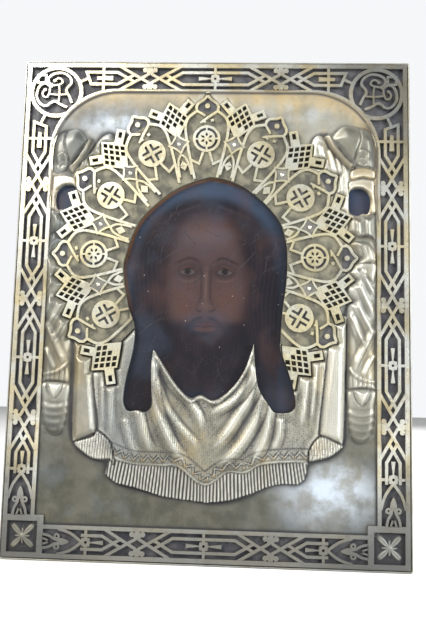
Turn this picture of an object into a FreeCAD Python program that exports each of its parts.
"""A small panel icon in a stamped silver-gilt cover.

A wooden board with two tapered dovetail battens in its back carries linen, gesso and a paint film. A thin metal
cover is folded over the front and the four edges and tacked to the board: its border has raised strapwork between
two rails, and its field shows a cloth held up by two winged figures, with an opening for the painted face. A
separate pierced halo plate is pinned round that opening.

Millimetres, +Z up, front towards -Y. The origin is under the middle of the icon, on the surface it stands on.
"""
import FreeCAD, Part
import math
import os

import Sketcher

Vector = FreeCAD.Vector
doc = FreeCAD.newDocument("panel_icon")

SIZES = {
    # the whole icon, seen from the front, and the greatest height of the relief over the sheet
    "icon_width": 177,
    "icon_height": 225,
    "relief_height": 4,
    # wooden board and its battens
    "board_thickness": 24,
    "board_fit": 0.2,
    "groove_depth": 6,
    "batten_width": 27,
    "batten_taper": 4,
    "dovetail_flare": 2.5,
    "batten_fit": 0.15,
    "batten_proud": 3,
    "batten_chamfer": 1.2,
    "batten_inset": 46,
    # layers on the board's front
    "linen_thickness": 0.3,
    "gesso_thickness": 1.4,
    "paint_thickness": 0.3,
    # cover sheet
    "sheet_thickness": 0.6,
    "flange_depth": 20,
    # border of the cover
    "border_width": 15.2,
    "lip_width": 0.7,
    "lip_groove": 0.6,
    "outer_rail": 1.9,
    "inner_rail": 1.7,
    "arch_radius": 30,
    "block_size": 16,
    "block_frame": 2.6,
    # strapwork in the border
    "strap_width": 1.45,
    "strap_rise": 1.3,
    "strap_lean": 30,
    "crossing_reach": 4.2,
    "hexagon_reach": 10.2,
    "hexagon_half_width": 2.85,
    "side_pitch": 52.6,
    "side_lift": 0.8,
    "top_pitch": 60.2,
    "bottom_pitch": 57,
    "ring_radius": 2.1,
    "ring_hole": 0.6,
    "cross_bar": 1.2,
    "bracket_reach": 21.6,
    "bracket_depth": 6.8,
    "end_ring_reach": 22.2,
    "petal_radius": 1.15,
    # halo plate
    "halo_offset": -2.9,
    "halo_centre_height": 133.5,
    "halo_half_width": 48.3,
    "halo_half_height": 52.8,
    "halo_pitch": 30,
    "halo_thickness": 1.4,
    "halo_strap_rise": 0.7,
    "halo_strap": 1.1,
    "medallion_radius": 5.9,
    "square_half_diagonal": 4.9,
    "square_hollow": 0.5,
    "lattice_half_length": 7.9,
    "lattice_half_width": 5.9,
    "tab_size": 4,
    "tab_hole": 2,
    # pins and tacks
    "pin_half": 0.5,
    "pin_head": 1.1,
    "pin_head_height": 0.8,
    "pin_depth": 5,
    "tack_half": 0.6,
    "tack_head": 1.4,
    "tack_head_height": 0.5,
    "tack_depth": 8,
    "fastener_fit": 0.05,
    "tack_setback": 7,
    # shared overlap of joined relief and overrun of cuts
    "bed": 0.3,
    "overrun": 2,
}

sheet = doc.addObject("Spreadsheet::Sheet", "Sizes")
for row, (name, value) in enumerate(SIZES.items(), 1):
    sheet.set(f"A{row}", name)
    sheet.set(f"B{row}", str(value))
    sheet.setAlias(f"B{row}", name)
doc.recompute()


class Sizes:
    """The sheet's sizes as plain numbers, for shapes that are worked out here."""

    def __getattr__(self, name):
        return float(sheet.get(name))


s = Sizes()

LAYERS = "(Sizes.linen_thickness + Sizes.gesso_thickness + Sizes.paint_thickness)"
DEPTH = (
    f"(Sizes.relief_height + Sizes.sheet_thickness + {LAYERS}"
    " + Sizes.board_thickness + Sizes.batten_proud)"
)
BACK = f"({DEPTH} / 2 - Sizes.batten_proud)"
EDGE = "(Sizes.sheet_thickness + Sizes.board_fit)"
BOARD_WIDTH = f"(Sizes.icon_width - 2 * {EDGE})"
BOARD_HEIGHT = f"(Sizes.icon_height - 2 * {EDGE})"

layers = s.linen_thickness + s.gesso_thickness + s.paint_thickness
depth = s.relief_height + s.sheet_thickness + layers + s.board_thickness + s.batten_proud
field_y = s.relief_height - depth / 2
half_width = s.icon_width / 2


def bind(thing, **expressions):
    """Ties properties of a document object to the sheet."""
    for path, expression in expressions.items():
        thing.setExpression(path.replace("__", "."), expression)


# Sketches and solids that follow the sheet


def sketch_on(body, name, role, corners, offset="0"):
    """A closed outline of straight lines on one of the body's own planes, each corner placed by the sheet."""
    plane = next(p for p in body.Origin.OriginFeatures if p.Role == role)
    sketch = body.newObject("Sketcher::SketchObject", name)
    sketch.AttachmentSupport = (plane, [""])
    sketch.MapMode = "FlatFace"
    sketch.setExpression("AttachmentOffset.Base.z", offset)
    points = [Vector(*[float(sketch.evalExpression(e)) for e in corner], 0) for corner in corners]
    count = len(points)
    for i in range(count):
        sketch.addGeometry(Part.LineSegment(points[i], points[(i + 1) % count]), False)
    for i in range(count):
        sketch.addConstraint(Sketcher.Constraint("Coincident", i, 2, (i + 1) % count, 1))
    for i, corner in enumerate(corners):
        for kind, expression, number in zip(("DistanceX", "DistanceY"), corner, (points[i].x, points[i].y)):
            index = sketch.addConstraint(Sketcher.Constraint(kind, -1, 1, i, 1, number))
            sketch.setExpression(f"Constraints[{index}]", expression)
    return sketch


def rectangle(width, height, low):
    return [
        (f"-{width} / 2", low),
        (f"{width} / 2", low),
        (f"{width} / 2", f"{low} + {height}"),
        (f"-{width} / 2", f"{low} + {height}"),
    ]


def batten_profile(width, fit, proud):
    """Across a batten: wide at the bottom of its groove, drawn in at the board's back, then standing proud."""
    half = f"({width} / 2 + {fit})"
    flare = f"({half} + Sizes.dovetail_flare)"
    floor = f"(-Sizes.groove_depth - {fit})"
    top = [(y, f"({half} - {chamfer})") for y, chamfer in proud]
    low_side = [(floor, flare), ("0", half)] + top
    return low_side + [(y, f"-{z}") for y, z in reversed(low_side)]


BATTEN_PROUD = [
    ("Sizes.batten_proud - Sizes.batten_chamfer", "0"),
    ("Sizes.batten_proud", "Sizes.batten_chamfer"),
]
GROOVE_OPEN = [("Sizes.overrun", "0")]


def batten_ends(enters):
    """Widths at the left and right ends of a batten driven in from one side (+1 right, -1 left)."""
    wide = "(Sizes.batten_width + Sizes.batten_taper / 2)"
    narrow = "(Sizes.batten_width - Sizes.batten_taper / 2)"
    return (narrow, wide) if enters > 0 else (wide, narrow)


def lengthwise_loft(body, kind, name, enters, fit, proud, height, beyond):
    """A tapered run across the board between two profiles, set at the batten's height."""
    sections = []
    for side, width in zip((-1, 1), batten_ends(enters)):
        corners = [(y, f"({height}) + {z}") for y, z in batten_profile(width, fit, proud)]
        offset = f"{side} * ({BOARD_WIDTH} / 2 + {beyond})"
        sections.append(sketch_on(body, f"{name}_{'right' if side > 0 else 'left'}", "YZ_Plane", corners, offset))
    doc.recompute()
    loft = body.newObject(kind, name)
    loft.Profile = sections[0]
    loft.Sections = [sections[1]]
    loft.Ruled = True
    return loft


BATTENS = {
    "upper_batten": (-1, f"{EDGE} + {BOARD_HEIGHT} - Sizes.batten_inset"),
    "lower_batten": (1, f"{EDGE} + Sizes.batten_inset"),
}


def make_board():
    body = doc.addObject("PartDesign::Body", "board_blank")
    outline = sketch_on(body, "board_outline", "XZ_Plane", rectangle(BOARD_WIDTH, BOARD_HEIGHT, EDGE))
    pad = body.newObject("PartDesign::Pad", "board_pad")
    pad.Profile = outline
    bind(pad, Length="Sizes.board_thickness")
    for name, (enters, height) in BATTENS.items():
        lengthwise_loft(
            body, "PartDesign::SubtractiveLoft", f"{name}_groove", enters,
            "Sizes.batten_fit", GROOVE_OPEN, height, "Sizes.overrun",
        )
    bind(body, Placement__Base__y=BACK)
    return body


def true_planes(shape):
    """The same solid with each flat side of its loft made a true plane, so that it can be a resting face."""
    sides = []
    for side in shape.Faces:
        corners = [corner.Point for corner in side.OuterWire.OrderedVertexes]
        sides.append(Part.Face(Part.makePolygon(corners + corners[:1])))
    shell = Part.makeShell(sides)
    shell.sewShape()
    return Part.makeSolid(shell)


def make_batten(name):
    """A batten, planed flat. Its loft leaves flat sides as splines, which no object of the document mends."""
    enters, height = BATTENS[name]
    body = doc.addObject("PartDesign::Body", f"{name}_blank")
    lengthwise_loft(body, "PartDesign::AdditiveLoft", f"{name}_run", enters, "0", BATTEN_PROUD, height, "0")
    bind(body, Placement__Base__y=BACK)
    doc.recompute()
    planed = true_planes(body.Shape)
    if not planed.isValid() or abs(planed.Volume / body.Shape.Volume - 1) > 1e-6:
        raise RuntimeError(f"{name} could not be planed flat")
    return feature(name, planed)


def make_layer(name, thickness, beneath):
    """One layer over the whole front of the board, on top of those beneath it."""
    box = doc.addObject("Part::Box", f"{name}_coat")
    bind(
        box,
        Length=BOARD_WIDTH,
        Width=thickness,
        Height=BOARD_HEIGHT,
        Placement__Base__x=f"-{BOARD_WIDTH} / 2",
        Placement__Base__y=f"{BACK} - Sizes.board_thickness - ({beneath}) - {thickness}",
        Placement__Base__z=EDGE,
    )
    return box


def make_tray():
    """The cover before any relief: the front sheet with four flanges folded back round the board."""
    body = doc.addObject("PartDesign::Body", "cover_tray")
    front = sketch_on(
        body, "tray_front", "XZ_Plane", rectangle("Sizes.icon_width", "Sizes.icon_height", "0")
    )
    pad = body.newObject("PartDesign::Pad", "tray_pad")
    pad.Profile = front
    bind(pad, Length="Sizes.flange_depth")
    inside = sketch_on(
        body, "tray_inside", "XZ_Plane",
        rectangle(
            "(Sizes.icon_width - 2 * Sizes.sheet_thickness)",
            "(Sizes.icon_height - 2 * Sizes.sheet_thickness)",
            "Sizes.sheet_thickness",
        ),
    )
    doc.recompute()
    pocket = body.newObject("PartDesign::Pocket", "tray_pocket")
    pocket.Profile = inside
    pocket.Reversed = True
    bind(pocket, Length="Sizes.flange_depth - Sizes.sheet_thickness")
    bind(body, Placement__Base__y=f"Sizes.relief_height - {DEPTH} / 2 + Sizes.flange_depth")
    doc.recompute()
    full = s.icon_width * s.icon_height * s.flange_depth
    if body.Shape.Volume > full / 2:
        raise RuntimeError("the tray was not hollowed")
    return body


# Flat faces on the cover's front, from x and z


def front(x, z, rise=0.0):
    return Vector(x, field_y - rise, z)


def polygon(points, rise=0.0):
    loop = [front(x, z, rise) for x, z in points]
    return Part.makePolygon(loop + loop[:1])


def face(points):
    """A flat face that looks to the front, whichever way its points run."""
    area = sum(a[0] * b[1] - b[0] * a[1] for a, b in zip(points, points[1:] + points[:1]))
    return Part.Face(polygon(points if area > 0 else points[::-1]))


def shifted(points, distance, closed):
    """The outline moved sideways by a distance, with mitred corners. Positive is to the right of travel."""
    count = len(points)
    moved = []
    for i, (x, z) in enumerate(points):
        before = points[i - 1] if closed or i else None
        after = points[(i + 1) % count] if closed or i < count - 1 else None
        sides = []
        for a, b in ((before, (x, z)), ((x, z), after)):
            if a and b:
                length = math.hypot(b[0] - a[0], b[1] - a[1])
                sides.append(((b[1] - a[1]) / length, (a[0] - b[0]) / length))
        nx = sum(side[0] for side in sides) / len(sides)
        nz = sum(side[1] for side in sides) / len(sides)
        stretch = distance / (nx * nx + nz * nz)
        moved.append((x + nx * stretch, z + nz * stretch))
    return moved


def band(points, width, closed=False):
    """A flat strap of one width along a line of points."""
    right = shifted(points, width / 2, closed)
    left = shifted(points, -width / 2, closed)
    if closed:
        outer, inner = face(left), face(right)
        return outer.cut(inner) if outer.Area > inner.Area else inner.cut(outer)
    return face(right + left[::-1])


def disc(x, z, radius):
    """A round patch of relief, with flats that are fewer on a small one."""
    sides = 16 if radius > s.strap_width * 2.5 else 8
    turns = [2 * math.pi * (i + 0.5) / sides for i in range(sides)]
    return face([(x + radius * math.cos(a), z + radius * math.sin(a)) for a in turns])


def square_hole(x, z, half):
    return face([(x - half, z - half), (x + half, z - half), (x + half, z + half), (x - half, z + half)])


def ring(x, z, outer, inner):
    return disc(x, z, outer).cut(disc(x, z, inner))


def joined(faces):
    """One flat region from overlapping faces."""
    return Part.makeShell(faces[0].fuse(faces[1:]).Faces).removeSplitter()


def raised(region, low, high):
    """A flat region made solid from one height over the sheet to another."""
    moved = region.copy()
    moved.translate(Vector(0, -low, 0))
    return moved.extrude(Vector(0, low - high, 0))


def turned(x, z, degrees):
    """Places a point given as (outwards, sideways) from (x, z), outwards being up turned clockwise."""
    sine, cosine = math.sin(math.radians(degrees)), math.cos(math.radians(degrees))
    return lambda out, side: (x + out * sine + side * cosine, z + out * cosine - side * sine)


def feature(name, shape):
    thing = doc.addObject("Part::Feature", name)
    thing.Shape = shape
    return thing


# Border of the cover

edge_to_band = s.lip_width + s.lip_groove + s.outer_rail
half_band = (s.border_width - edge_to_band - s.inner_rail) / 2
band_axis = edge_to_band + half_band
lean = 1 / math.tan(math.radians(s.strap_lean))
into_rail = half_band + s.inner_rail / 2
field_half = half_width - s.border_width
field_top = s.icon_height - s.border_width
block_edge = edge_to_band + s.block_size

STRIPS = {
    "left": lambda u, v: (-(half_width - band_axis) - v, u),
    "right": lambda u, v: (half_width - band_axis + v, u),
    "top": lambda u, v: (u, s.icon_height - band_axis + v),
    "bottom": lambda u, v: (u, band_axis - v),
}


FLOWER_SHARES = [(0.4, 1.08), (0.68, 0.94), (0.66, 0.66), (0.38, 0.6), (0.28, 0.36), (0, 0.27)]


def crossing(at, u):
    """Where the straps of two hexagons cross between a pair of half flowers at the rails."""
    faces = []
    for along in (1, -1):
        for across in (1, -1):
            rail_end = at(u + along * (s.crossing_reach + into_rail * lean), across * into_rail)
            flower_end = at(u, -across * s.crossing_reach / lean)
            faces.append(band([rail_end, flower_end], s.strap_width))
    for across in (1, -1):
        flower = FLOWER_SHARES + [(-p, q) for p, q in FLOWER_SHARES[-2::-1]]
        faces.append(face([at(u + p * half_band, across * q * half_band) for p, q in flower]))
    return faces


def hexagon_arms(at, u, along, reach):
    """Two straps that leave a crossing, spread to the hexagon's width and run straight to its middle or end."""
    shoulder = s.hexagon_reach + s.hexagon_half_width * lean
    start = (s.crossing_reach + s.hexagon_reach) / 2
    faces = []
    for across in (1, -1):
        line = [
            at(u + along * start, -across * (s.hexagon_reach - start) / lean),
            at(u + along * shoulder, across * s.hexagon_half_width),
            at(u + along * reach, across * s.hexagon_half_width),
        ]
        faces.append(band(line, s.strap_width))
    return faces


def rail_bars(at, u):
    """Short bars from the hexagon's straps to both rails."""
    ends = (s.hexagon_half_width, into_rail)
    return [band([at(u, across * ends[0]), at(u, across * ends[1])], s.cross_bar) for across in (1, -1)]


def taper(at, u, along):
    """The small wedge beside a ring, narrow at the ring."""
    near, far = s.ring_radius * 1.15, s.ring_radius * 3.6
    thin, thick = s.cross_bar / 4, s.cross_bar * 0.75
    return face([
        at(u + along * near, thin), at(u + along * far, thick),
        at(u + along * far, -thick), at(u + along * near, -thin),
    ])


def ring_mark(at, u, wedges=(1, -1)):
    faces = rail_bars(at, u) + [ring(*at(u, 0), s.ring_radius, s.ring_hole)]
    return faces + [taper(at, u, along) for along in wedges]


def bracket_end(at, u, along, corner):
    """A strip's end below a corner roundel: a cross bar, an upright and a square bracket with a stem."""
    bar = u + along * s.bracket_reach
    top = bar + along * s.bracket_depth
    slant = s.bracket_depth / 6
    faces = hexagon_arms(at, u, along, s.bracket_reach + s.bracket_depth - slant)
    faces += [
        band([at(bar, -into_rail), at(bar, into_rail)], s.cross_bar),
        face([
            at(bar + along * s.bracket_depth * 0.45, s.strap_width / 2),
            at(bar + along * s.bracket_depth * 0.45, -s.strap_width / 2),
            at(bar - along * s.bracket_depth * 0.65, -s.strap_width * 0.75),
            at(bar - along * s.bracket_depth * 0.65, s.strap_width * 0.75),
        ]),
        band([
            at(bar, s.hexagon_half_width), at(top + along * slant, s.hexagon_half_width),
            at(top - along * slant, -s.hexagon_half_width), at(bar, -s.hexagon_half_width),
        ], s.strap_width),
    ]
    stem = at(top, 0)
    reach = math.hypot(corner[0] - stem[0], corner[1] - stem[1])
    share = 1 - (roundel_radius - s.strap_width / 2) / reach
    meets = tuple(p + (q - p) * share for p, q in zip(stem, corner))
    faces.append(band([stem, meets], s.cross_bar))
    return faces


def niche_end(at, u, along, block):
    """A strip's end at a lower corner block: a last ring over a pointed niche with a small palmette."""
    last = u + along * s.end_ring_reach
    apex = last + along * s.ring_radius * 0.8
    faces = hexagon_arms(at, u, along, s.end_ring_reach + s.ring_radius)
    faces += ring_mark(at, last, (-along,))
    high = abs(block - apex)
    for across in (1, -1):
        arch = [(0, 0), (0.17, 0.42), (0.34, 0.74), (0.52, 0.96)]
        faces.append(band([at(apex + along * p * high, across * q * half_band) for p, q in arch], s.strap_width))
        foot = at(block, across * half_band * 0.55)
        curl = at(block - along * high * 0.27, across * half_band * 0.3)
        faces.append(band([foot, curl], s.cross_bar))
        faces.append(disc(*at(block - along * high * 0.36, across * half_band * 0.38), s.petal_radius))
    faces.append(disc(*at(block - along * high * 0.55, 0), s.petal_radius * 1.35))
    return faces


roundel_radius = s.border_width - edge_to_band
SCROLL_SHARES = [
    (0.38, 0.0), (0.62, 0.2), (0.66, 0.42), (0.46, 0.72), (0.18, 0.83), (-0.06, 0.74),
    (-0.14, 0.55), (-0.16, 0.38), (-0.36, 0.2), (-0.62, 0.02),
]
HOOK_SHARES = [(0.46, 0.33), (0.41, 0.47), (0.28, 0.52), (0.15, 0.45), (0.13, 0.31), (-0.13, 0.03), (-0.36, -0.2)]
CORNER_SQUARE_SHARES = [(0.63, 0.0), (0.8, 0.17), (0.96, 0.0), (0.8, -0.17)]


def roundel(corner, side):
    """A ring in an upper corner with two scrolls that cross on its diagonal."""
    along = turned(*corner, 45 * side)
    faces = [ring(*corner, roundel_radius + s.outer_rail / 4, roundel_radius - s.strap_width)]
    for flank in (1, -1):
        for shares in (SCROLL_SHARES, HOOK_SHARES):
            line = [along(p * roundel_radius, flank * q * roundel_radius) for p, q in shares]
            faces.append(band(line, s.strap_width * 0.8))
    square = [along(p * roundel_radius, q * roundel_radius) for p, q in CORNER_SQUARE_SHARES]
    faces.append(band(square, s.cross_bar * 0.7, closed=True))
    return faces


def arc_points(x, z, radius, first, last, count=12):
    """Points round a quarter, by compass angle from straight up."""
    angles = [first + (last - first) * i / count for i in range(count + 1)]
    return [(x + radius * math.sin(math.radians(a)), z + radius * math.cos(math.radians(a))) for a in angles]


def field_outline(grow, stepped):
    """The field's edge: straight sides under round upper corners, with a step at each lower block."""
    half, top, low = field_half + grow, field_top + grow, s.border_width - grow
    centre_x, centre_z = half - s.arch_radius, top - s.arch_radius
    right = arc_points(centre_x, centre_z, s.arch_radius, 0, 90)
    if stepped:
        step = half_width - block_edge
        right += [(half, block_edge), (step, block_edge), (step, low)]
    else:
        right.append((half, low))
    return right + [(-x, z) for x, z in reversed(right)]


def frame_region(outer, inner):
    return face(outer).cut(face(inner))


def rectangle_points(inset):
    x, low, high = half_width - inset, inset, s.icon_height - inset
    return [(-x, low), (x, low), (x, high), (-x, high)]


def border_region():
    """All the border's straps and rails as one flat region."""
    rail_start = s.lip_width + s.lip_groove
    faces = [
        frame_region(rectangle_points(rail_start), rectangle_points(edge_to_band)),
        frame_region(field_outline(s.inner_rail, False), field_outline(0, True)),
    ]
    for side in (1, -1):
        corner = (side * (half_width - s.border_width), s.icon_height - s.border_width)
        faces += roundel(corner, side)
        at = STRIPS["right" if side > 0 else "left"]
        middle = s.icon_height / 2 + s.side_lift
        places = [middle + k * s.side_pitch for k in (-1, 0, 1)]
        for u in places:
            faces += crossing(at, u)
        for u in places[:2]:
            faces += hexagon_arms(at, u, 1, s.side_pitch / 2) + hexagon_arms(at, u + s.side_pitch, -1, s.side_pitch / 2)
            faces += ring_mark(at, u + s.side_pitch / 2)
        faces += bracket_end(at, places[2], 1, corner)
        faces += niche_end(at, places[0], -1, block_edge)
        for name, pitch in (("top", s.top_pitch), ("bottom", s.bottom_pitch)):
            at = STRIPS[name]
            u = side * pitch / 2
            faces += crossing(at, u) + hexagon_arms(at, u, -side, pitch / 2)
            if name == "top":
                faces += bracket_end(at, u, side, corner)
            else:
                faces += niche_end(at, u, side, side * (half_width - block_edge))
        block = [(edge_to_band, edge_to_band), (block_edge, edge_to_band), (block_edge, block_edge),
                 (edge_to_band, block_edge)]
        faces.append(face([(side * (half_width - x), z) for x, z in block]))
    for name in ("top", "bottom"):
        faces += ring_mark(STRIPS[name], 0)
    return joined(faces).cut([block_recess(side) for side in (1, -1)])


recess_low = edge_to_band
recess_high = block_edge - s.block_frame


def block_recess(side):
    square = [(recess_low, recess_low), (recess_high, recess_low), (recess_high, recess_high),
              (recess_low, recess_high)]
    return face([(side * (half_width - x), z) for x, z in square])


def slab(points, rise, bevel):
    """A raised patch with sloping sides and a flat crown."""
    area = sum(a[0] * b[1] - b[0] * a[1] for a, b in zip(points, points[1:] + points[:1]))
    inward = -bevel if area > 0 else bevel
    crown = shifted(points, inward, True)
    return Part.makeLoft([polygon(points, -s.bed), polygon(crown, rise)], True, True)


def block_star(side):
    """Low four-sided pyramid with four leaves on its ridges, in a lower corner block."""
    size = recess_high - recess_low
    middle = (recess_low + recess_high) / 2
    centre = (side * (half_width - middle), middle)
    square = turned(*centre, 45)
    half_diagonal = size / math.sqrt(2) * 0.98
    base = [square(half_diagonal, 0), square(0, half_diagonal), square(-half_diagonal, 0), square(0, -half_diagonal)]
    solids = [slab(base, s.strap_rise * 0.7, size * 0.4)]
    for k in range(4):
        leaf = turned(*centre, 45 + 90 * k)
        outline = [leaf(0, 0), leaf(size * 0.3, size * 0.1), leaf(size * 0.64, 0), leaf(size * 0.3, -size * 0.1)]
        solids.append(slab(outline, s.strap_rise, size * 0.03))
    return solids


def make_border():
    solids = [raised(border_region(), -s.bed, s.strap_rise)]
    lip = frame_region(rectangle_points(0), rectangle_points(s.lip_width))
    solids.append(raised(lip, -s.bed, s.strap_rise / 2))
    for side in (1, -1):
        solids += block_star(side)
    return [solid for part in solids for solid in part.Solids]


# Cloth and winged figures. Outlines are in shares of the icon's width and height.


def on_icon(shares, side=1):
    return [(side * x * s.icon_width, z * s.icon_height) for x, z in shares]


FOLD_SECTION_SHARES = [(-1, 0), (0, 1), (1, 0)]


def ridge(shares, width, rise, side=1):
    """A sharp fold of the metal along a line, drawn in to little at its two ends."""
    line = on_icon(shares, side)
    edge = shifted(line, width / 2, False)
    sections = []
    for i, (middle, right) in enumerate(zip(line, edge)):
        swell = 0.25 + 0.75 * math.sin(math.pi * (i + 0.5) / len(line))
        across = [(q - m) * swell for m, q in zip(middle, right)]
        points = []
        for p, q in FOLD_SECTION_SHARES:
            x, z = (m + a * p for m, a in zip(middle, across))
            points.append(front(x, z, q * rise * swell if q else -s.bed))
        sections.append(Part.makePolygon(points + points[:1]))
    return Part.makeLoft(sections, True, True)


CLOTH_EDGE_SHARES = [
    (-0.345, 0.48), (-0.34, 0.356), (-0.331, 0.231), (-0.325, 0.22), (-0.29, 0.197), (-0.263, 0.192),
    (-0.237, 0.187), (-0.247, 0.165), (-0.219, 0.149), (-0.169, 0.141), (-0.107, 0.127), (-0.063, 0.122),
    (0.007, 0.117), (0.054, 0.122), (0.111, 0.136), (0.155, 0.151), (0.184, 0.156), (0.228, 0.157),
    (0.242, 0.166), (0.245, 0.18), (0.251, 0.198), (0.303, 0.21), (0.332, 0.229), (0.336, 0.333), (0.34, 0.48),
]
CLOTH_BODY_SHARES = [
    (-0.27, 0.48), (-0.27, 0.25), (-0.245, 0.2), (-0.184, 0.186), (-0.11, 0.184), (-0.066, 0.182),
    (-0.018, 0.154), (0.012, 0.152), (0.052, 0.174), (0.096, 0.175), (0.139, 0.192), (0.22, 0.198),
    (0.262, 0.212), (0.285, 0.48),
]
LEFT_ROLL_SHARES = [
    (-0.342, 0.48), (-0.337, 0.356), (-0.33, 0.237), (-0.322, 0.227), (-0.281, 0.24), (-0.271, 0.249),
    (-0.286, 0.357), (-0.297, 0.48),
]
RIGHT_ROLL_SHARES = [
    (0.305, 0.48), (0.299, 0.454), (0.275, 0.267), (0.278, 0.248), (0.319, 0.236), (0.333, 0.24),
    (0.337, 0.335), (0.338, 0.48),
]
FOLD_SHARES = [
    ([(0.106, 0.358), (0.077, 0.321), (0.037, 0.297), (-0.01, 0.28)], 0.035),
    ([(0.118, 0.352), (0.106, 0.321), (0.078, 0.284), (0.05, 0.249), (0.021, 0.226), (-0.007, 0.216)], 0.04),
    ([(0.133, 0.317), (0.125, 0.285), (0.102, 0.251), (0.074, 0.218), (0.046, 0.199), (0.005, 0.189)], 0.036),
    ([(0.151, 0.29), (0.144, 0.249), (0.124, 0.212), (0.095, 0.182)], 0.036),
    ([(-0.135, 0.4), (-0.134, 0.348), (-0.125, 0.296), (-0.097, 0.243), (-0.063, 0.203), (-0.018, 0.177)], 0.044),
    ([(-0.119, 0.386), (-0.085, 0.34), (-0.04, 0.304), (-0.018, 0.276), (-0.008, 0.241)], 0.036),
    ([(-0.172, 0.283), (-0.15, 0.237), (-0.125, 0.204)], 0.03),
    ([(-0.237, 0.4), (-0.24, 0.32), (-0.235, 0.22)], 0.03),
]


def cloth():
    thin, body = s.relief_height * 0.2, s.relief_height * 0.35
    solids = [
        slab(on_icon(CLOTH_EDGE_SHARES), thin, thin / 2),
        slab(on_icon(CLOTH_BODY_SHARES), body, body / 2),
        slab(on_icon(LEFT_ROLL_SHARES), s.relief_height * 0.6, s.relief_height * 0.4),
        slab(on_icon(RIGHT_ROLL_SHARES), s.relief_height * 0.6, s.relief_height * 0.4),
    ]
    for shares, width_share in FOLD_SHARES:
        solids.append(ridge(shares, width_share * s.icon_width, s.relief_height * 0.8))
    return solids


WING_SHARES = [
    (0.301, 0.838), (0.324, 0.862), (0.345, 0.865), (0.375, 0.86), (0.39, 0.854), (0.4, 0.84),
    (0.402, 0.81), (0.402, 0.778), (0.393, 0.772), (0.363, 0.78), (0.352, 0.791), (0.332, 0.809), (0.314, 0.823),
]
WING_BAND_SHARES = [(0.284, 0.842), (0.295, 0.845), (0.312, 0.823), (0.36, 0.782), (0.345, 0.774), (0.309, 0.804)]
FEATHER_SHARES = [(0.29, 0.842), (0.315, 0.81), (0.345, 0.78), (0.345, 0.68), (0.32, 0.68), (0.26, 0.76), (0.24, 0.81)]
BROW_SHARES = [(0.35, 0.7), (0.35, 0.773), (0.377, 0.78), (0.404, 0.773), (0.408, 0.68), (0.397, 0.68),
               (0.398, 0.725), (0.38, 0.738), (0.358, 0.736)]
CHEST_SHARES = [(0.35, 0.69), (0.407, 0.69), (0.41, 0.6), (0.346, 0.6)]
SLEEVE_SHARES = [(0.347, 0.624), (0.37, 0.628), (0.39, 0.625), (0.405, 0.61), (0.407, 0.587), (0.378, 0.584),
                 (0.351, 0.59)]
ROBE_SHARES = [(0.348, 0.588), (0.408, 0.588), (0.409, 0.353), (0.37, 0.36), (0.346, 0.385), (0.342, 0.48)]
UNDER_ROBE_SHARES = [(0.346, 0.4), (0.409, 0.38), (0.409, 0.337), (0.348, 0.336)]
FOOT_SHARES = [(0.361, 0.34), (0.391, 0.34), (0.39, 0.32), (0.38, 0.313), (0.368, 0.323)]
CLOUD_SHARES = [(0.344, 0.3), (0.378, 0.288), (0.403, 0.3), (0.402, 0.26), (0.39, 0.244), (0.372, 0.234),
                (0.354, 0.246), (0.345, 0.27)]
ROBE_FOLD_SHARES = [
    [(0.349, 0.583), (0.375, 0.53), (0.405, 0.475)],
    [(0.347, 0.54), (0.37, 0.5), (0.4, 0.472)],
    [(0.347, 0.49), (0.365, 0.44), (0.396, 0.4)],
    [(0.348, 0.45), (0.358, 0.4), (0.385, 0.37)],
    [(0.406, 0.46), (0.4, 0.42), (0.39, 0.38)],
]
SLEEVE_FOLD_SHARES = [
    [(0.353, 0.622), (0.368, 0.604), (0.383, 0.588)],
    [(0.368, 0.624), (0.384, 0.607), (0.396, 0.59)],
]
CLOUD_FOLD_SHARES = [
    [(0.347, 0.296), (0.376, 0.287), (0.402, 0.296)],
    [(0.348, 0.279), (0.376, 0.271), (0.401, 0.28)],
    [(0.352, 0.256), (0.37, 0.246), (0.394, 0.257)],
]


def winged_figure(side):
    """One of the two figures that hold the cloth: wing, halo band, chest, sleeve, robe, foot and cloud."""
    low, high = s.relief_height * 0.3, s.relief_height * 0.55
    bevel = s.relief_height * 0.25
    patches = [
        (FEATHER_SHARES, low, bevel), (WING_SHARES, high, bevel * 1.5), (WING_BAND_SHARES, high, bevel / 2),
        (BROW_SHARES, low, bevel / 2), (CHEST_SHARES, low, bevel), (ROBE_SHARES, high * 0.8, bevel),
        (UNDER_ROBE_SHARES, low, bevel / 2), (SLEEVE_SHARES, high * 1.1, bevel), (FOOT_SHARES, high, bevel),
        (CLOUD_SHARES, low, bevel),
    ]
    solids = [slab(on_icon(shares, side), rise, slope) for shares, rise, slope in patches]
    folds = [(ROBE_FOLD_SHARES, 0.85), (SLEEVE_FOLD_SHARES, 1.0), (CLOUD_FOLD_SHARES, 0.6)]
    for shares_list, share in folds:
        for shares in shares_list:
            solids.append(ridge(shares, s.relief_height * 0.9, s.relief_height * share, side))
    return solids


def make_relief():
    solids = cloth() + winged_figure(1) + winged_figure(-1)
    return solids[0].fuse(solids[1:]).Solids


# Openings in the cover. The face opening is shared by the halo plate, in shares of the halo's half sizes from its
# centre.

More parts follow.
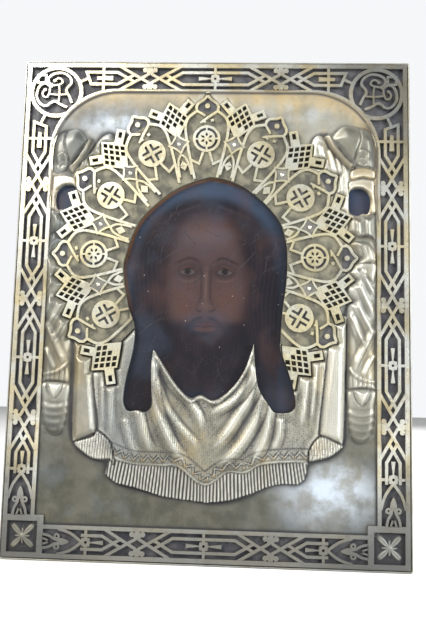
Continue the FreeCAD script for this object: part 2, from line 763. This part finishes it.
OPENING_SHARES = [
    (0.031, 0.697), (-0.215, 0.616), (-0.42, 0.497), (-0.592, 0.335), (-0.702, 0.156), (-0.75, -0.014),
    (-0.735, -0.227), (-0.688, -0.419), (-0.622, -0.598), (-0.629, -0.824), (-0.691, -1.058),
    (-0.702, -1.229), (-0.662, -1.305), (-0.57, -1.297), (-0.512, -1.318), (-0.453, -1.284), (-0.435, -1.237),
    (-0.449, -1.045), (-0.442, -0.79), (-0.372, -0.892), (-0.277, -1.02), (-0.109, -1.186), (-0.065, -1.182),
    (0.005, -1.156), (0.075, -1.195), (0.13, -1.199), (0.214, -1.152), (0.32, -1.054), (0.401, -0.922),
    (0.47, -0.726), (0.496, -0.999), (0.529, -1.118), (0.599, -1.216), (0.657, -1.284), (0.804, -1.284),
    (0.852, -1.237), (0.848, -1.148), (0.811, -1.02), (0.756, -0.875), (0.712, -0.764), (0.716, -0.653),
    (0.731, -0.44), (0.764, -0.206), (0.771, -0.006), (0.745, 0.165), (0.683, 0.335), (0.555, 0.472),
    (0.353, 0.612), (0.17, 0.689),
]
SMALL_FACE_SHARES = [
    (0.347, 0.726), (0.357, 0.734), (0.38, 0.735), (0.397, 0.723), (0.401, 0.703), (0.394, 0.684),
    (0.38, 0.686), (0.369, 0.681), (0.348, 0.688),
]


def through(points):
    """A cut from behind the sheet to past the highest relief."""
    reach = s.relief_height + s.overrun
    solid = raised(face(points), -s.sheet_thickness - s.paint_thickness / 2, reach)
    return solid


def face_opening():
    return [
        (s.halo_offset + x * s.halo_half_width, s.halo_centre_height + z * s.halo_half_height)
        for x, z in OPENING_SHARES
    ]


def opening_cuts():
    cuts = [through(face_opening())]
    return cuts + [through(on_icon(SMALL_FACE_SHARES, side)) for side in (1, -1)]


# Halo plate, laid out by distance from its centre (in shares of the medallions' ring) and by angle


def on_halo(share, degrees):
    angle = math.radians(degrees)
    return (
        s.halo_offset + share * s.halo_half_width * math.sin(angle),
        s.halo_centre_height + share * s.halo_half_height * math.cos(angle),
    )


MEDALLIONS = [k * s.halo_pitch for k in range(-4, 5)]
SQUARES = [(k + 0.5) * s.halo_pitch for k in range(-4, 4)]
CLUSTERS = [(k + 0.5) * s.halo_pitch for k in range(-5, 5)]
ARCH_SHARES = [(0.66, 0.29), (0.9, 0.345), (1.13, 0.345), (1.22, 0.28), (1.262, 0.178), (1.31, 0.165), (1.374, 0)]


def halo_line(shares, middle, side):
    """Points from (distance share, share of the halo's pitch) on one side of a medallion's angle."""
    return [on_halo(r, middle + side * p * s.halo_pitch) for r, p in shares]


def medallion(middle, crossed):
    """A ring with a cross in it, or with a boss where the ring isn't crossed."""
    centre = on_halo(1, middle)
    at = turned(*centre, middle)
    arm = s.medallion_radius - s.halo_strap / 2
    faces = [ring(*centre, s.medallion_radius, s.medallion_radius - s.halo_strap)]
    if crossed:
        return faces + [
            band([at(-arm, 0), at(arm, 0)], s.halo_strap),
            band([at(0, -arm), at(0, arm)], s.halo_strap),
        ]
    return faces + [disc(*centre, s.medallion_radius / 2)]


def hollow_square(middle, half_diagonal):
    """A square standing on its corner, with sides bowed inwards."""
    at = turned(*on_halo(1, middle), middle)
    corners = [(half_diagonal, 0), (0, -half_diagonal), (-half_diagonal, 0), (0, half_diagonal)]
    outline = []
    for a, b in zip(corners, corners[1:] + corners[:1]):
        for along in (0, 0.5):
            bow = 1 - 4 * along * (1 - along) * s.square_hollow / (half_diagonal / math.sqrt(2))
            outline.append(at((a[0] + (b[0] - a[0]) * along) * bow, (a[1] + (b[1] - a[1]) * along) * bow))
    return face(outline)


def lattice_at(middle):
    """Places a point of a lattice cluster: (outwards, sideways) from its middle, in shares of its half sizes."""
    at = turned(*on_halo(1.197, middle), middle)
    return lambda out, side: at(out * s.lattice_half_length, side * s.lattice_half_width)


LATTICE_ROWS = 4


def lattice_outline(middle):
    at = lattice_at(middle)
    return face(shifted([at(1, 0), at(0, -1), at(-1, 0), at(0, 1)], s.halo_strap / 2, True))


def lattice_holes(middle):
    """Diamond holes of a woven cluster, left solid at its inner end, where a square lies over it."""
    at = lattice_at(middle)
    step = 1 / LATTICE_ROWS
    half = step * 0.58
    holes = []
    for i in range(LATTICE_ROWS):
        for j in range(LATTICE_ROWS):
            out, side = 1 - (i + j + 1) * step, (i - j) * step
            if i + j <= LATTICE_ROWS:
                holes.append(face([
                    at(out + half, side), at(out, side + half), at(out - half, side), at(out, side - half),
                ]))
    return holes


def tab(middle, side):
    """Square tongue that stands out from a cluster's side, with its hole."""
    centre = on_halo(1.3, middle + side * 0.227 * s.halo_pitch)
    at = turned(*centre, middle + side * 55)
    half, hole = s.tab_size / 2, s.tab_hole / 2
    outline = [at(half, half), at(half, -half), at(-half * 2.2, -half), at(-half * 2.2, half)]
    opening = [at(hole, hole * 0.8), at(hole, -hole * 0.8), at(-hole, -hole * 0.8), at(-hole, hole * 0.8)]
    return face(outline), face(opening)


def arch_outline(middle):
    """The closed outline round one medallion, from the inner edge up to the knob's point."""
    outline = halo_line(ARCH_SHARES, middle, 1) + halo_line(ARCH_SHARES[:-1], middle, -1)[::-1]
    return shifted(outline, s.halo_strap / 2, True)


def halo_outline():
    """The plate's outer shape, with nothing cut in it yet."""
    first, last = CLUSTERS[0], CLUSTERS[-1]
    steps = 2 * len(CLUSTERS)
    angles = [first + (last - first) * i / steps for i in range(steps + 1)]
    sector = [on_halo(1.07, a) for a in angles] + [on_halo(0.6, a) for a in reversed(angles)]
    faces = [face(sector)]
    faces += [face(arch_outline(middle)) for middle in MEDALLIONS]
    for middle in CLUSTERS:
        faces.append(lattice_outline(middle))
        faces += [tab(middle, side)[0] for side in (1, -1)]
    return joined(faces)


def halo_straps():
    """Everything raised on the plate as one flat region."""
    faces = []
    for k, middle in enumerate(MEDALLIONS):
        faces += medallion(middle, crossed=k % 3 != 1)
        for side in (1, -1):
            faces.append(band(halo_line(ARCH_SHARES, middle, side), s.halo_strap))
    for middle in SQUARES:
        inner = s.square_half_diagonal - s.halo_strap * math.sqrt(2) * 0.8
        faces.append(hollow_square(middle, s.square_half_diagonal).cut(hollow_square(middle, inner)))
    for middle in CLUSTERS:
        faces.append(lattice_outline(middle))
        faces += [tab(middle, side)[0] for side in (1, -1)]
    return joined(faces)


def halo_piercings():
    holes = []
    for middle in CLUSTERS:
        holes += lattice_holes(middle) + [tab(middle, side)[1] for side in (1, -1)]
    return holes


# Pins through the halo's squares and tacks through the cover's flanges


def flats(centre, direction, radius, sides):
    """A wire of equal flats round a centre, square to a direction along an axis of the frame."""
    across = Vector(0, 0, 1) if direction.z == 0 else Vector(1, 0, 0)
    third = direction.cross(across)
    turns = [2 * math.pi * (i + 0.5) / sides for i in range(sides)]
    points = [centre + across * (radius * math.cos(a)) + third * (radius * math.sin(a)) for a in turns]
    return Part.makePolygon(points + points[:1])


def fastener(head_at, direction, shank, head, head_height, length, fit=0.0):
    """A forged pin or tack: a hammered head on a square shank. With a fit it is the hole that takes the shank."""
    shaft = Part.Face(flats(head_at, direction, (shank + fit) * math.sqrt(2), 4)).extrude(direction * length)
    if fit:
        return shaft
    crown = head_at - direction * head_height
    dome = Part.makeLoft([flats(head_at, direction, head, 8), flats(crown, direction, head * 0.5, 8)], True, True)
    return shaft.fuse(dome)


def pins(fit=0.0):
    rise = s.halo_thickness
    length = rise + s.sheet_thickness + layers + s.pin_depth + fit
    heads = [front(*on_halo(1, middle), rise) for middle in SQUARES]
    return [fastener(at, Vector(0, 1, 0), s.pin_half, s.pin_head, s.pin_head_height, length, fit) for at in heads]


TACK_ROW_SHARES = [0.08, 0.29, 0.5, 0.71, 0.92]
TACK_TOP_SHARES = [0.1, 0.37, 0.63, 0.9]


def tacks(fit=0.0):
    y = field_y + s.flange_depth - s.tack_setback
    length = s.tack_depth + fit
    places = []
    for side in (1, -1):
        for share in TACK_ROW_SHARES:
            places.append((Vector(side * half_width, y, share * s.icon_height), Vector(-side, 0, 0)))
    for share in TACK_TOP_SHARES:
        places.append((Vector((share - 0.5) * s.icon_width, y, s.icon_height), Vector(0, 0, -1)))
    return [
        fastener(at, direction, s.tack_half, s.tack_head, s.tack_head_height, length, fit)
        for at, direction in places
    ]


pin_holes = feature("pin_holes", Part.makeCompound(pins(s.fastener_fit)))
tack_holes = feature("tack_holes", Part.makeCompound(tacks(s.fastener_fit)))


def cut_by(name, base, tools):
    """The finished sub-part: the base with every tool cut out of it."""
    tool = tools[0]
    if len(tools) > 1:
        tool = doc.addObject("Part::Compound", f"{name}_cuts")
        tool.Links = tools
    cut = doc.addObject("Part::Cut", name)
    cut.Base, cut.Tool, cut.Refine = base, tool, False
    return cut


def make_cover():
    """The sheet metal cover. Its relief has too many faces for boolean objects of the document."""
    seat = raised(halo_region, 0, s.relief_height + s.overrun)
    cuts = opening_cuts() + seat.Solids + pin_holes.Shape.Solids + tack_holes.Shape.Solids
    whole = make_tray().Shape.fuse(make_border() + make_relief())
    return feature("cover_sheet", whole.cut(cuts))


def make_halo():
    """The pierced halo plate, its straps standing on the ground they share an outline with."""
    holes = [square_hole(*on_halo(1, middle), s.pin_half + s.fastener_fit) for middle in SQUARES]
    cuts = halo_piercings() + holes + [face(face_opening())]
    plate = raised(halo_region.cut(cuts), 0, s.halo_thickness)
    straps = raised(
        halo_straps().common(halo_region).cut(cuts), s.halo_thickness, s.halo_thickness + s.halo_strap_rise
    )
    return feature("halo_plate", plate.fuse(straps).removeSplitter())


halo_region = halo_outline()
subparts = [
    cut_by("panel_board", make_board(), [pin_holes, tack_holes]),
    make_batten("upper_batten"),
    make_batten("lower_batten"),
    cut_by("linen_facing", make_layer("linen", "Sizes.linen_thickness", "0"), [pin_holes]),
    cut_by("gesso_ground", make_layer("gesso", "Sizes.gesso_thickness", "Sizes.linen_thickness"), [pin_holes]),
    cut_by(
        "paint_film",
        make_layer("paint", "Sizes.paint_thickness", "Sizes.linen_thickness + Sizes.gesso_thickness"),
        [pin_holes],
    ),
    make_cover(),
    make_halo(),
    feature("halo_pins", Part.makeCompound(pins())),
    feature("edge_tacks", Part.makeCompound(tacks())),
]
doc.recompute()

for thing in doc.Objects:
    if {"Invalid", "Error"} & set(thing.State):
        raise RuntimeError(f"{thing.Label} failed: {thing.State}")
os.makedirs("parts", exist_ok=True)
for part in subparts:
    part.Label = part.Name
    shape = part.Shape
    if shape.isNull() or not shape.isValid() or not shape.Solids:
        raise RuntimeError(f"{part.Label} has no valid solid")
    box = shape.BoundBox
    print(
        f"{part.Label}: {len(shape.Solids)} solid(s), {len(shape.Faces)} faces, volume {shape.Volume:.0f}, "
        f"x {box.XMin:.2f} to {box.XMax:.2f}, y {box.YMin:.2f} to {box.YMax:.2f}, z {box.ZMin:.2f} to {box.ZMax:.2f}"
    )
    shape.exportStep(f"parts/{part.Label}.step")
